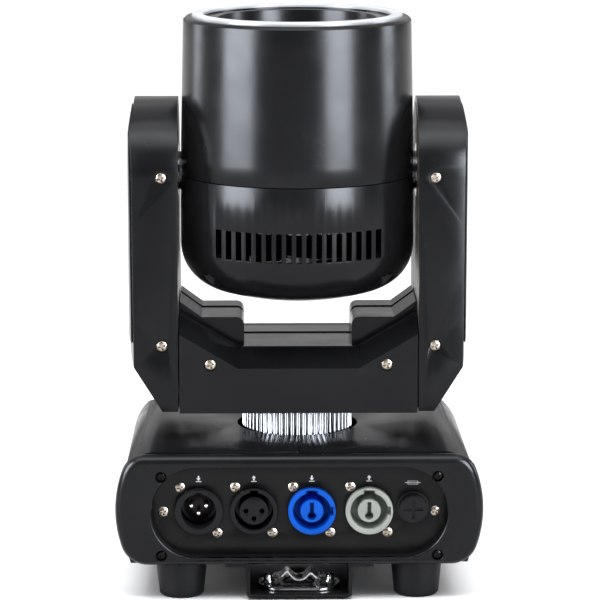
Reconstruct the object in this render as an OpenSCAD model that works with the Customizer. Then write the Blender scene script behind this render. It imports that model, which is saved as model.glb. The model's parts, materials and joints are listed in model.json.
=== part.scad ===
/* [Base] */
// Half width of the rear end cap at mid height
cap_hw = 93.9; // [90:0.1:98]
// Half width of the base body at mid height
body_hw = 90.7; // [86:0.1:93]
// Height of the underside of the base body
base_lo = 19.1; // [16:0.1:22]
// Radius of the end cap's bulged sides
cap_bow = 60; // [50:1:80]
// Radius of the end cap's top corners
cap_top_r = 12; // [8:0.5:14]
// Radius of the end cap's bottom corners
cap_bottom_r = 14; // [8:0.5:16]
// Height of the deck
deck_z = 77.3; // [74:0.1:80]
// Half depth of the base
base_hd = 76; // [72:0.5:80]
// Sideways taper of the base body towards the front
base_taper = 0.9; // [0:0.1:3]
// Radius of the deck's long edges
deck_r = 16.6; // [10:0.5:20]

/* [Yoke] */
// Underside of the yoke
yoke_lo = 92; // [90:0.5:95]
// Inner face of each arm
arm_in = 61.9; // [61.5:0.1:63]
// Crown of the arm side panels
arm_out = 88.4; // [86:0.1:90]
// Half depth of the arms at their feet
arm_hd = 46; // [42:0.5:48]
// Radius of the round arm tops
arm_top_r = 39.6; // [38:0.1:42]
// Slope of the bar's shoulders in degrees
bar_rise = 30.5; // [26:0.5:32]
// Height of the tilt axis
tilt_z = 212; // [211:0.5:215]

/* [Head] */
// Radius of the head at the shell seam
head_r = 60.9; // [59:0.1:61]
// Radius of the head at the front rim
rim_r = 59.1; // [58:0.1:60]
// Lowest point of the head, upright
head_lo = 145; // [143.5:0.5:147]
// Height of the front rim, upright
rim_z = 292.5; // [290:0.5:294]
// Radius of the rounded rear edge of the head
tail_r = 24; // [20:0.5:30]
// Radius of the domed rear face of the head
dome_r = 150; // [120:5:250]

/* [Hidden] */
$fn = 96;
wall = 2.8;
mid_z = 47.9;
deck_x = body_hw - 89.5
    + sqrt(pow(90 - deck_r, 2) - pow(deck_z - deck_r - mid_z, 2));
conn_z = 46.4;
panel_y = -67;
conn_x = [-51.4, -23.2, 6.4, 35.7];
fuse_x = 58;
front_z = 39;
front_screw_z = [27, 51];
button_x = [8, 18.5, 29, 39.5];
foot_x = 60.5;
foot_y = 57;
stud_y = 53;
arm_screw_z = [126.8, 213.3];
bar_screw_z = 117.4;
bar_z = 116;
bar_bevel = 8.7;
shoulder_z = 138.7;
fan_lo = 152.2;
pan_small_x = 46;
pan_big = 29;
small_r = 8;
belt_t = 1.3;
belt_gap = 0.35;
tilt_small_z = 160;
tilt_big = 20;
wheel_x = -17;

// ---------- shared shapes ----------
module box(lo, hi) {
    translate(lo)
        cube([hi[0] - lo[0], hi[1] - lo[1], hi[2] - lo[2]]);
}
module cyl_y(x, z, r, y0, y1) {
    translate([x, y1, z])
        rotate([90, 0, 0])
            cylinder(r = r, h = y1 - y0);
}
module cyl_x(y, z, r, x0, x1) {
    translate([x0, y, z])
        rotate([0, 90, 0])
            cylinder(r = r, h = x1 - x0);
}
module along_y(y0, y1) {
    translate([0, y1, 0])
        rotate([90, 0, 0])
            linear_extrude(height = y1 - y0)
                children();
}
module along_x(x0, x1) {
    translate([x0, 0, 0])
        rotate([90, 0, 90])
            linear_extrude(height = x1 - x0)
                children();
}
module sides() {
    for (s = [0, 1])
        mirror([s, 0, 0])
            children();
}
module corners(x, y) {
    for (sx = [-1, 1])
        for (sy = [-1, 1])
            translate([sx * x, sy * y, 0])
                children();
}
module rounded(w, h, r) {
    union() {
        square([w - 2 * r, h], center = true);
        square([w, h - 2 * r], center = true);
        for (sx = [-1, 1])
            for (sy = [-1, 1])
                translate([sx * (w / 2 - r), sy * (h / 2 - r)])
                    circle(r = r);
    }
}
module stadium(w, r) {
    union() {
        square([2 * w, 2 * r], center = true);
        for (s = [-1, 1])
            translate([s * w, 0])
                circle(r = r);
    }
}
function loop_points(ra, rb, d) =
    let (a = acos((ra - rb) / d))
    concat(
        [for (i = [0 : 48])
            let (t = a + (360 - 2 * a) * i / 48)
            [ra * cos(t), ra * sin(t)]],
        [for (i = [0 : 16])
            let (t = -a + 2 * a * i / 16)
            [d + rb * cos(t), rb * sin(t)]]);
module belt_shape(ra, rb, d, t) {
    difference() {
        polygon(loop_points(ra + t, rb + t, d));
        polygon(loop_points(ra, rb, d));
    }
}

// ---------- base ----------
function arc_points(c, r, a0, a1, n) = [for (i = [0 : n])
    let (a = a0 + (a1 - a0) * i / n)
    [c[0] + r * cos(a), c[1] + r * sin(a)]];
function cap_side(inset) =
    let (cx = cap_hw - cap_bow,
        zt = 76.7 - cap_top_r, zb = base_lo + cap_bottom_r,
        xt = sqrt(pow(cap_bow - cap_top_r, 2) - pow(zt - mid_z, 2)),
        xb = sqrt(pow(cap_bow - cap_bottom_r, 2) - pow(zb - mid_z, 2)),
        at = atan2(zt - mid_z, xt), ab = atan2(zb - mid_z, xb))
    concat(arc_points([cx + xt, zt], cap_top_r - inset, 90, at, 9),
        arc_points([cx, mid_z], cap_bow - inset, at - 3, ab + 3, 13),
        arc_points([cx + xb, zb], cap_bottom_r - inset, ab, -90, 9));
module end_outline(inset) {
    side = cap_side(inset);
    n = len(side);
    polygon(concat(side,
        [for (i = [n - 1 : -1 : 0]) [-side[i][0], side[i][1]]]));
}
module side_outline(inset) {
    union() {
        translate([-90, 0])
            square([144, deck_z - inset]);
        translate([54, deck_z - 22])
            circle(r = 22 - inset);
        translate([0, 0])
            square([base_hd - inset, deck_z - 22]);
    }
}
module body_profile(inset) {
    intersection() {
        translate([body_hw - 90, mid_z])
            circle(r = 90 - inset);
        union() {
            translate([-20, 0])
                square([20 + deck_x, deck_z - inset]);
            translate([-20, 0])
                square([130, deck_z - deck_r]);
            translate([deck_x, deck_z - deck_r])
                circle(r = deck_r - inset);
        }
    }
}
module base_half(inset, y0, y1, lo, hi) {
    intersection() {
        translate([0, -53, 0])
            rotate([0, 0, base_taper])
                along_y(y0 + 45, y1 + 61)
                    intersection() {
                        body_profile(inset);
                        translate([-20, lo])
                            square([130, hi - lo]);
                    }
        translate([0, 0, lo])
            linear_extrude(height = hi - lo)
                union() {
                    translate([-2, -80])
                        square([110, 126]);
                    translate([56.5, 46])
                        circle(r = 30 - inset);
                    translate([-2, 40])
                        square([58.5, base_hd - 40 - inset]);
                }
        along_x(-20, 110)
            side_outline(inset);
        box([-1, y0, lo], [110, y1, hi]);
    }
}
module grip_outline(g) {
    translate([-4, mid_z])
        rounded(66 + 2 * g, 30 + 2 * g, 8 + g);
}
module base_cover() {
    difference() {
        union() {
            difference() {
                base_half(0, -68.8, 66, base_lo, deck_z);
                base_half(wall, -70, 68, base_lo - 1, deck_z - wall);
            }
            intersection() {
                base_half(0.4, -60, 60, base_lo, deck_z);
                along_x(70, 100)
                    grip_outline(2.4);
            }
        }
        along_x(72.4, 100)
            grip_outline(0);
        translate([0, 0, 60])
            cylinder(r = 31.7, h = 30);
        box([-30, -80, 0], [0.2, 80, 100]);
    }
}
module base_cover_right() {
    color("#202124")
        base_cover();
}
module base_cover_left() {
    color("#202124")
        mirror([1, 0, 0])
            base_cover();
}
module base_floor_plate() {
    color("#8d9094")
        difference() {
            union() {
                base_half(wall + 0.3, -68.8, 66, base_lo, base_lo + 2);
                mirror([1, 0, 0])
                    base_half(wall + 0.3, -68.8, 66, base_lo, base_lo + 2);
                for (x = [-1, 1])
                    for (y = [-60, 57])
                        box([x * 40 - 6, y, base_lo + 1],
                            [x * 40 + 6, y + 2, base_lo + 9]);
            }
            corners(foot_x, foot_y)
                cylinder(r = 2, h = 60);
            for (y = [-1, 1])
                translate([0, y * stud_y, 0])
                    cylinder(r = 14, h = 60);
            for (x = [-7 : 7])
                translate([x * 7, 0, 0])
                    box([-1.4, -22, 0], [1.4, 22, 40]);
        }
}
module rear_end_cap() {
    color("#1d1e20")
        difference() {
            union() {
                along_y(-76, -70.4)
                    end_outline(0);
                along_y(-70.5, -69.1)
                    intersection() {
                        end_outline(1.6);
                        translate([-88, 0])
                            square([176, 100]);
                    }
            }
            translate([0, 0, mid_z - 1.15])
                along_y(-80, -60)
                    stadium(52, 23.5);
            for (x = [-1, 1])
                for (z = [65.6, 24.5]) {
                    cyl_y(x * 70.4, z, 2.85, -80, -73.5);
                    cyl_y(x * 70.4, z, 1.3, -80, -60);
                }
        }
}
module front_end_cap() {
    color("#1d1e20")
        difference() {
            sides()
                base_half(0, 66.3, base_hd, base_lo, 76.9);
            difference() {
                sides()
                    base_half(wall, 60, 73.2, base_lo + 3, 73.9);
                for (x = [-1, 1])
                    for (z = front_screw_z)
                        cyl_y(x * 56, z, 4, 60, 80);
            }
            along_y(60, 90)
                translate([0, front_z])
                    rounded(92, 25, 6);
            for (x = [-1, 1])
                for (z = front_screw_z) {
                    cyl_y(x * 56, z, 2.85, 73.5, 80);
                    cyl_y(x * 56, z, 1.3, 60, 80);
                }
        }
}
module connector_panel() {
    color("#191a1c")
        difference() {
            union() {
                along_y(panel_y, panel_y + 2)
                    translate([0, conn_z])
                        rounded(158, 50.2, 4);
                for (x = [-1, 1])
                    box([x * 71 - 6, panel_y + 1, base_lo + 2],
                        [x * 71 + 6, panel_y + 2, base_lo + 9]);
            }
            for (x = conn_x) {
                cyl_y(x, conn_z, 11.4, -80, -50);
                for (s = [-1, 1])
                    cyl_y(x - s * 9.5, conn_z + s * 12, 1.3, -80, -50);
            }
            cyl_y(fuse_x, 48, 7.1, -80, -50);
            for (x = [-1, 1])
                cyl_y(x * 69.6, 45.7, 1.4, -80, -50);
        }
}
module flange(x) {
    along_y(panel_y + 2, panel_y + 3.4)
        translate([x, conn_z])
            difference() {
                intersection() {
                    rounded(25.6, 30.6, 2.5);
                    circle(r = 17.6);
                }
                for (s = [-1, 1])
                    translate([-s * 9.5, s * 12])
                        circle(r = 1.5);
            }
}
module dmx_in_socket() {
    x = conn_x[0];
    color("#18191b")
        difference() {
            union() {
                flange(x);
                cyl_y(x, conn_z, 12.1, panel_y - 3, panel_y);
                cyl_y(x, conn_z, 11.4, panel_y - 0.1, -52);
            }
            cyl_y(x, conn_z, 9, -80, -55);
            box([x - 1.6, -80, conn_z + 6], [x + 1.6, -60, conn_z + 9.6]);
            box([x - 3, -80, conn_z + 11], [x + 3, -68.8, conn_z + 14]);
        }
    color("#18191b")
        cyl_y(x, conn_z, 6.6, -58, -54.9);
}
module dmx_in_pins() {
    x = conn_x[0];
    color("#d9d6cc")
        for (p = [[-3.8, 2.1], [3.8, 2.1], [0, -1.8]]) {
            cyl_y(x + p[0], conn_z + p[1], 1.2, -66.5, -58);
            translate([x + p[0], -66.5, conn_z + p[1]])
                sphere(r = 1.2);
        }
}
module dmx_out_socket() {
    x = conn_x[1];
    color("#18191b")
        difference() {
            union() {
                flange(x);
                cyl_y(x, conn_z, 12.05, panel_y - 3.4, panel_y);
                cyl_y(x, conn_z, 11.4, panel_y - 0.1, -52);
            }
            difference() {
                cyl_y(x, conn_z, 9.9, -80, -56);
                cyl_y(x, conn_z, 7.2, -69.6, -50);
            }
            for (p = [[-4.1, 0], [4.1, 0], [0, -4]])
                cyl_y(x + p[0], conn_z + p[1], 1.3, -80, -58);
            box([x - 2, -80, conn_z + 8.4], [x + 2, -66, conn_z + 11]);
        }
}
module power_socket(x, keyed) {
    difference() {
        union() {
            flange(x);
            cyl_y(x, conn_z, 12.1, panel_y - 4, panel_y);
            cyl_y(x, conn_z, 11.4, panel_y - 0.1, -50);
        }
        difference() {
            cyl_y(x, conn_z, 9.7, -80, -54);
            cyl_y(x, conn_z, 5.85, -70.4, -50);
        }
        box([x - 2.9, -80, conn_z + 8], [x + 2.9, -62, conn_z + 11]);
        rotate([0, 0, 0])
            box([x + keyed * 8, -80, conn_z - 2.4],
                [x + keyed * 8 + 3, -62, conn_z + 2.4]);
        box([x - 1, -80, conn_z - 4.6], [x + 1, -60, conn_z + 4.6]);
        cyl_y(x, conn_z - 2.6, 2.2, -80, -60);
    }
}
module power_in_socket() {
    color("#1c62c8")
        power_socket(conn_x[2], 1);
}
module power_out_socket() {
    color("#d8d9d4")
        power_socket(conn_x[3], 1);
}
module fuse_holder() {
    color("#161719")
        difference() {
            union() {
                cyl_y(fuse_x, 48, 8.25, -68.8, -67);
                cyl_y(fuse_x, 48, 7.1, -67.1, -40);
            }
            cyl_y(fuse_x, 48, 5.85, -80, -42);
        }
}
module fuse_cap() {
    color("#26272a")
        difference() {
            union() {
                cyl_y(fuse_x, 48, 7, -73.6, -69.1);
                cyl_y(fuse_x, 48, 5.5, -69.2, -52);
            }
            box([fuse_x - 5, -80, 47.2], [fuse_x + 5, -72.4, 48.8]);
            box([fuse_x - 0.8, -80, 43], [fuse_x + 0.8, -72.4, 53]);
        }
    color("#c9c9c4")
        cyl_y(fuse_x, 48, 2.6, -52.1, -46);
}
module cross_screw(r, h) {
    difference() {
        union() {
            intersection() {
                cylinder(r = r, h = h);
                translate([0, 0, h - 2 * r])
                    sphere(r = 2 * r);
            }
            translate([0, 0, -5])
                cylinder(r = r * 0.5, h = 5.01);
        }
        for (a = [0, 90])
            rotate([0, 0, a + 20])
                translate([-r * 0.68, -r * 0.17, h * 0.2])
                    cube([r * 1.36, r * 0.34, h]);
    }
}
module rear_screws() {
    color("#b9b6ae") {
        for (x = conn_x)
            for (s = [-1, 1])
                translate([x - s * 9.5, panel_y, conn_z + s * 12])
                    rotate([90, 0, 0])
                        cross_screw(2.5, 1.1);
        for (x = [-1, 1])
            for (z = [65.6, 24.5])
                translate([x * 70.4, -73.5, z])
                    rotate([90, 0, 0])
                        cross_screw(2.5, 1.4);
        for (x = [-1, 1])
            translate([x * 69.6, -67, 45.7])
                rotate([90, 0, 0])
                    cross_screw(2.6, 1.3);
        for (x = [-1, 1])
            for (z = front_screw_z)
                translate([x * 56, 73.5, z])
                    rotate([-90, 0, 0])
                        cross_screw(2.5, 1.4);
    }
}
module display_panel() {
    color("#121314")
        difference() {
            union() {
                along_y(69.2, 71.7)
                    translate([0, front_z])
                        rounded(97, 31, 5);
                for (x = [-1, 1])
                    for (z = [front_z - 12, front_z + 12])
                        cyl_y(x * 46, z, 2, 64.3, 69.3);
            }
            along_y(60, 80)
                translate([-20, front_z])
                    rounded(40, 17, 1.5);
            for (x = button_x)
                cyl_y(x, front_z, 4.35, 60, 80);
        }
}
module display_window() {
    color("#2a4a63") {
        along_y(68, 71.3)
            translate([-20, front_z])
                rounded(39.8, 16.8, 1.4);
        along_y(64.3, 68)
            translate([-20, front_z])
                rounded(42, 20, 1.4);
    }
}
module menu_button(i) {
    color("#3a3c40")
        difference() {
            union() {
                cyl_y(button_x[i], front_z, 4, 68, 73.6);
                cyl_y(button_x[i], front_z, 5.1, 66.8, 68.9);
            }
            if (i == 0)
                translate([button_x[i], 80, front_z])
                    rotate([90, 0, 0])
                        linear_extrude(height = 6.9)
                            difference() {
                                circle(r = 1.7);
                                circle(r = 1.0);
                            }
            if (i > 0)
                translate([button_x[i], 80, front_z])
                    rotate([90, (i == 1 ? 180 : (i == 2 ? 0 : 90)), 0])
                        linear_extrude(height = 6.9)
                            polygon([[-1.8, 1], [1.8, 1], [0, -1.7]]);
        }
}
module menu_button_1() {
    menu_button(0);
}
module menu_button_2() {
    menu_button(1);
}
module menu_button_3() {
    menu_button(2);
}
module menu_button_4() {
    menu_button(3);
}
module foot(sx, sy) {
    color("#151516")
        translate([sx * foot_x, sy * foot_y, 0])
            difference() {
                union() {
                    cylinder(r1 = 10.4, r2 = 11.5, h = 1.1);
                    translate([0, 0, 1.1])
                        cylinder(r1 = 11.5, r2 = 13.3, h = base_lo - 1.1);
                }
                translate([0, 0, -1])
                    cylinder(r = 4.4, h = 12);
                cylinder(r = 2, h = 40);
            }
}
module foot_1() {
    foot(-1, -1);
}
module foot_2() {
    foot(1, -1);
}
module foot_3() {
    foot(-1, 1);
}
module foot_4() {
    foot(1, 1);
}
module mount_channel() {
    color("#17181a")
        difference() {
            union() {
                along_y(-72, 72)
                    difference() {
                        union() {
                            translate([-25, 1.2])
                                square([50, 10]);
                            translate([-27, 3.2])
                                square([54, base_lo - 3.2]);
                            for (s = [-1, 1])
                                translate([s * 25, 3.2])
                                    circle(r = 2);
                        }
                        translate([-25.2, 3])
                            square([50.4, 20]);
                    }
                sides()
                    box([26, -72, base_lo - 1.8], [38, 72, base_lo]);
            }
            for (y = [-1, 1])
                translate([0, y * stud_y, 0])
                    cylinder(r = 13, h = 8);
            cylinder(r = 6.6, h = 8);
            for (y = [-30, 30])
                translate([0, y, 0])
                    cylinder(r = 4, h = 8);
            for (x = [-1, 1])
                for (y = [-64, 0, 64])
                    translate([x * 33, y, 0])
                        cylinder(r = 1.8, h = 40);
        }
}
module lock_receptacles() {
    color("#c2c0b8")
        for (s = [-1, 1])
            translate([0, s * stud_y, 3])
                difference() {
                    union() {
                        linear_extrude(height = 2.2)
                            stadium(7.5, 14);
                        for (x = [-1, 1])
                            translate([x * 16.5, 0, 2.1])
                                cylinder(r = 2.6, h = 2.6);
                        translate([0, 0, 6])
                            linear_extrude(height = 1.6)
                                difference() {
                                    rounded(38, 9, 3);
                                    circle(r = 3);
                                }
                        for (x = [-1, 1])
                            translate([x * 16.5, 0, 4.6])
                                cylinder(r = 2, h = 1.5);
                        for (a = [0, 180])
                            rotate([0, 0, a])
                                translate([3.2, -4, 7.5])
                                    cube([3.4, 8, 2.4]);
                    }
                    translate([0, 0, -1])
                        cylinder(r = 8.4, h = 4);
                }
}
module power_supply() {
    color("#a9acb0")
        difference() {
            union() {
                box([-58, -30, 21.1], [-30, 50, 22.7]);
                box([-58, -30, 21.1], [-56.6, 50, 56]);
                box([-58, -30, 54.6], [-30, 50, 56]);
                box([-52, -24, 24.8], [-33, -4, 46]);
                box([-54, -28, 22.6], [-33, 48, 25]);
                box([-52, 4, 24.8], [-36, 22, 44]);
                for (y = [30, 42])
                    translate([-44, y, 24.9])
                        cylinder(r = 5.4, h = 22);
            }
            for (y = [-6 : 6])
                translate([0, 10 + y * 5, 0])
                    box([-60, -1, 30], [-55, 1, 50]);
        }
}
module control_board() {
    color("#1e5a3a") {
        along_y(62.7, 64.3)
            translate([0, front_z])
                rounded(98, 32, 1);
        box([30, -30, 24], [56, 50, 25.6]);
        box([34, -20, 25.5], [46, -6, 27.4]);
        box([48, 20, 25.5], [54, 44, 33]);
        for (x = [32, 54])
            for (y = [-26, 46])
                translate([x, y, 21.1])
                    cylinder(r = 2.4, h = 3);
        for (x = [-1, 1])
            box([x * 40 - 5, 59, 28], [x * 40 + 5, 62.8, 36]);
        box([-10, 58, 26], [10, 62.8, 38]);
    }
}

// ---------- pan drive ----------
module pan_pulley() {
    color("#cfd1d4")
        difference() {
            union() {
                translate([0, 0, 70])
                    cylinder(r = pan_big, h = 36);
                translate([0, 0, 67])
                    cylinder(r = 30.6, h = 3.1);
                for (a = [45 : 90 : 315])
                    rotate([0, 0, a])
                        translate([26, 0, 21.1])
                            cylinder(r = 4.4, h = 48);
            }
            for (i = [0 : 59])
                rotate([0, 0, i * 6])
                    translate([pan_big + 0.5, 0, 72])
                        cylinder(r = 1.15, h = 40);
            translate([0, 0, 60])
                cylinder(r = 20, h = 60);
        }
}
module pan_bearing() {
    color("#9a9ca0")
        translate([0, 0, 70])
            difference() {
                cylinder(r = 20, h = 30);
                translate([0, 0, -1])
                    cylinder(r = 14, h = 40);
                translate([0, 0, -1])
                    difference() {
                        cylinder(r = 18.2, h = 3);
                        cylinder(r = 15.8, h = 3);
                    }
                translate([0, 0, 28])
                    difference() {
                        cylinder(r = 18.2, h = 3);
                        cylinder(r = 15.8, h = 3);
                    }
            }
}
module pan_shaft() {
    color("#b4b6b9")
        difference() {
            union() {
                translate([0, 0, 62])
                    cylinder(r = 13.95, h = 50);
                translate([0, 0, 110.5])
                    cylinder(r = 24, h = 3);
                translate([0, 0, 61])
                    cylinder(r = 12.4, h = 2);
            }
            translate([0, 0, 50])
                cylinder(r = 10, h = 80);
            for (a = [0 : 60 : 300])
                rotate([0, 0, a])
                    translate([19, 0, 100])
                        cylinder(r = 1.7, h = 30);
        }
}
module pan_motor() {
    color("#3a3b3d")
        difference() {
            union() {
                translate([pan_small_x, 0, 112])
                    linear_extrude(height = 18)
                        rounded(28, 28, 4);
                translate([pan_small_x, 0, 110.5])
                    linear_extrude(height = 1.6)
                        rounded(28, 28, 2);
                translate([pan_small_x, 0, 130])
                    linear_extrude(height = 1.6)
                        rounded(28, 28, 2);
            }
            translate([pan_small_x, 0, 100])
                cylinder(r = 2.05, h = 26);
        }
}
module toothed(r, h, n) {
    difference() {
        cylinder(r = r, h = h);
        for (i = [0 : n - 1])
            rotate([0, 0, i * 360 / n])
                translate([r + 0.25, 0, -1])
                    cylinder(r = 0.75, h = h + 2);
    }
}
module pan_motor_pulley() {
    color("#c9cacc")
        translate([pan_small_x, 0, 0])
            union() {
                translate([0, 0, 96.8])
                    toothed(small_r, 6.4, 16);
                translate([0, 0, 103.2])
                    cylinder(r = 6, h = 4);
                translate([0, 0, 107])
                    cylinder(r = 2, h = 18);
            }
}
module pan_belt() {
    color("#121212")
        translate([0, 0, 97])
            linear_extrude(height = 6)
                belt_shape(pan_big + belt_gap, small_r + belt_gap,
                    pan_small_x, belt_t);
}

// ---------- yoke ----------
function arm_y(z, inset) = arm_top_r - inset
    + (arm_hd - arm_top_r) * (tilt_z - z) / (tilt_z - yoke_lo);
module arch(inset) {
    foot = arm_hd - inset;
    r = arm_top_r - inset;
    union() {
        translate([0, tilt_z])
            circle(r = r);
        polygon([[-foot, yoke_lo + inset], [foot, yoke_lo + inset],
            [r, tilt_z], [-r, tilt_z]]);
    }
}
module arm_front_outline(inset) {
    polygon([[arm_in - 1, yoke_lo + inset],
        [70.5 - inset * 0.5, yoke_lo + inset],
        [arm_out - inset, 120 + inset * 0.4],
        [arm_out - inset, 208],
        [arm_out - 1.1 - inset, 236],
        [arm_out - 4.6 - inset, 262],
        [arm_in - 1, 262]]);
}
module arm_solid(inset, x0) {
    intersection() {
        along_x(x0, 95)
            arch(inset);
        along_y(-60, 60)
            arm_front_outline(inset);
        translate([arm_out - inset - 340, 0, 80])
            cylinder(r = 340, h = 200, $fn = 900);
    }
}
module panel_outline(g) {
    intersection() {
        arch(4.6 - g);
        translate([-60, 128 - g])
            square([120, 200]);
    }
}
module arm_cover() {
    difference() {
        union() {
            difference() {
                arm_solid(0.9, arm_in);
                arm_solid(4.2, arm_in - 1);
            }
            intersection() {
                arm_solid(0.9, arm_in + 1.8);
                for (z = arm_screw_z)
                    for (y = [0, 1])
                        mirror([0, y, 0])
                            cyl_y(70.3, z, 5, -50, -arm_y(z, 0) + 7);
            }
        }
        along_x(85.6, 99)
            panel_outline(0.3);
        for (z = arm_screw_z)
            for (y = [0, 1])
                mirror([0, y, 0]) {
                    cyl_y(70.3, z, 3.3, -60, -arm_y(z, 0) + 2.6);
                    cyl_y(70.3, z, 1.5, -60, -30);
                }
    }
}
module left_arm_cover() {
    color("#1f2022")
        mirror([1, 0, 0])
            arm_cover();
}
module right_arm_cover() {
    color("#1f2022")
        arm_cover();
}
module side_panel() {
    intersection() {
        arm_solid(0, 85.6);
        along_x(84, 99)
            panel_outline(0);
    }
}
module left_side_panel() {
    color("#232427")
        mirror([1, 0, 0])
            side_panel();
}
module right_side_panel() {
    color("#232427")
        side_panel();
}
module arm_plate() {
    difference() {
        union() {
            along_x(arm_in, arm_in + 1.6)
                arch(4.5);
            box([arm_in, -30, yoke_lo + 4.3], [arm_in + 6, 30, yoke_lo + 6]);
        }
        cyl_x(0, tilt_z, 14, 50, 90);
        for (a = [30 : 60 : 330])
            cyl_x(20 * cos(a), tilt_z + 20 * sin(a), 1.6, 50, 90);
        for (z = [126, 158, 190, 236])
            for (y = [-32, 32])
                cyl_x(y * (z > 230 ? 0.55 : 0.9), z, 1.7, 50, 90);
        for (z = [150, 170])
            for (y = [-10, 10])
                cyl_x(y, z, 1.3, 50, 90);
    }
}
module left_arm_plate() {
    color("#b9b19d")
        mirror([1, 0, 0])
            arm_plate();
}
module right_arm_plate() {
    color("#b9b19d")
        arm_plate();
}
module bar_section(inset, bevel) {
    w = arm_hd - 0.9 - inset;
    difference() {
        polygon([[-w, yoke_lo + inset], [-w, bar_z - inset * 0.4],
            [-30 + inset * 0.3, bar_z + bevel - inset],
            [30 - inset * 0.3, bar_z + bevel - inset],
            [w, bar_z - inset * 0.4], [w, yoke_lo + inset]]);
        if (inset == 0)
            for (s = [0, 1])
                mirror([s, 0])
                    translate([-34, bar_z + bevel - 1.2])
                        square([4.8, 0.7]);
    }
}
module bar_solid(inset) {
    union() {
        along_x(-61.3, 61.3)
            bar_section(inset, bar_bevel);
        sides()
            intersection() {
                box([25, -60, yoke_lo + inset], [61.3, 60, 170]);
                translate([31, 0, bar_z])
                    rotate([0, -bar_rise, 0])
                        translate([0, 0, -bar_z])
                            along_x(-8, 60)
                                bar_section(inset,
                                    bar_bevel * cos(bar_rise));
            }
        sides()
            along_y(-22 + inset, 22 - inset)
                difference() {
                    union() {
                        polygon([[32, 100], [32, shoulder_z - inset],
                            [50, shoulder_z - inset],
                            [61.3, shoulder_z + 8.3 - inset], [61.3, 100]]);
                        translate([28 + inset, 100])
                            square([20, shoulder_z - 104]);
                        translate([32, shoulder_z - 4])
                            circle(r = 4 - inset);
                    }
                    translate([0, 90])
                        square([26, 20]);
                }
    }
}
module bar_shell() {
    difference() {
        bar_solid(0);
        bar_solid(2.5);
        sides()
            box([50, -40, yoke_lo + 3], [70, 40, 116]);
        translate([0, 0, 80])
            cylinder(r = 31.2, h = 20);
        box([-61.4, -38, yoke_lo - 1], [61.4, 38, yoke_lo + 3.6]);
        for (x = [-1, 1])
            for (y = [0, 1])
                mirror([0, y, 0]) {
                    cyl_y(x * 45.4, bar_screw_z, 3.3, -60, -arm_hd + 2.2);
                    cyl_y(x * 45.4, bar_screw_z, 1.5, -60, -30);
                }
    }
}
module yoke_rear_cover() {
    color("#1f2022")
        intersection() {
            bar_shell();
            translate([0, 0, -0.6])
                bar_solid(-0.01);
            box([-100, -80, 80], [100, 6.3, 200]);
        }
}
module yoke_front_cover() {
    color("#1f2022")
        intersection() {
            bar_shell();
            box([-100, 7.1, 80], [100, 80, 200]);
        }
}
module yoke_frame() {
    color("#a7a9ac")
        difference() {
            union() {
                box([-61.9, -37.6, yoke_lo + 1], [61.9, 37.6, yoke_lo + 3]);
                box([-40, -24, 108.5], [61, 24, 110.5]);
                for (p = [[-36, 20], [-36, -20], [-20, 0], [56, 20], [56, -20]])
                    if (p[0] != -20)
                        translate([p[0], p[1], yoke_lo + 2.9])
                            cylinder(r = 3.4, h = 108.6 - yoke_lo - 2.9);
                for (y = [-1, 1])
                    box([-58, y * 36.6 - 1, yoke_lo + 2],
                        [58, y * 36.6 + 1, yoke_lo + 12]);
                sides()
                    box([60.3, -20, yoke_lo + 1], [61.9, 20, yoke_lo + 16]);
            }
            translate([0, 0, 80])
                cylinder(r = 31, h = 20);
            translate([0, 0, 100])
                cylinder(r = 13.95, h = 20);
            translate([pan_small_x, 0, 100])
                cylinder(r = 6.6, h = 20);
            for (x = [-50, 50])
                translate([x, 0, 80])
                    cylinder(r = 5, h = 20);
        }
}
module yoke_screws() {
    color("#b9b6ae")
        for (y = [0, 1])
            mirror([0, y, 0]) {
                for (x = [-1, 1])
                    for (z = arm_screw_z)
                        translate([x * 70.3, -arm_y(z, 0) + 2.6, z])
                            rotate([90, 0, 0])
                                cross_screw(3, 1.4);
                for (x = [-1, 1])
                    translate([x * 45.4, -arm_hd + 2.2, bar_screw_z])
                        rotate([90, 0, 0])
                            cross_screw(3, 1.2);
            }
}

// ---------- tilt drive ----------
module tilt_bearings() {
    color("#9a9ca0")
        sides()
            difference() {
                union() {
                    cyl_x(0, tilt_z, 14, arm_in, 70);
                    cyl_x(0, tilt_z, 17, arm_in + 1.6, 65.4);
                }
                cyl_x(0, tilt_z, 10, 50, 90);
            }
}
module tilt_trunnions() {
    color("#b4b6b9") {
        mirror([1, 0, 0])
            difference() {
                union() {
                    cyl_x(0, tilt_z, 9.95, 50, 82.4);
                    cyl_x(0, tilt_z, 16, 50, 52.6);
                    translate([77.9, 0, tilt_z])
                        rotate([0, 90, 0])
                            toothed(tilt_big, 4.5, 40);
                }
                cyl_x(0, tilt_z, 6.5, 40, 90);
                for (a = [0 : 60 : 300])
                    cyl_x(14 * cos(a), tilt_z + 14 * sin(a), 2.2, 74, 90);
            }
        difference() {
            union() {
                cyl_x(0, tilt_z, 9.95, 50, 76);
                cyl_x(0, tilt_z, 16, 50, 52.6);
                cyl_x(0, tilt_z, 12.5, 71, 76);
            }
            cyl_x(0, tilt_z, 6.5, 40, 90);
        }
    }
}
module tilt_motor() {
    color("#3a3b3d")
        mirror([1, 0, 0])
            difference() {
                union() {
                    along_x(arm_in + 1.6, 76.6)
                        translate([0, tilt_small_z])
                            rounded(28, 28, 4);
                    along_x(75, 76.8)
                        translate([0, tilt_small_z])
                            rounded(30, 30, 2);
                }
                cyl_x(0, tilt_small_z, 2.05, 66, 90);
            }
}
module tilt_motor_pulley() {
    color("#c9cacc")
        mirror([1, 0, 0])
            union() {
                translate([77.8, 0, tilt_small_z])
                    rotate([0, 90, 0])
                        toothed(small_r, 4.7, 16);
                cyl_x(0, tilt_small_z, 2, 67, 78);
            }
}
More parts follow.
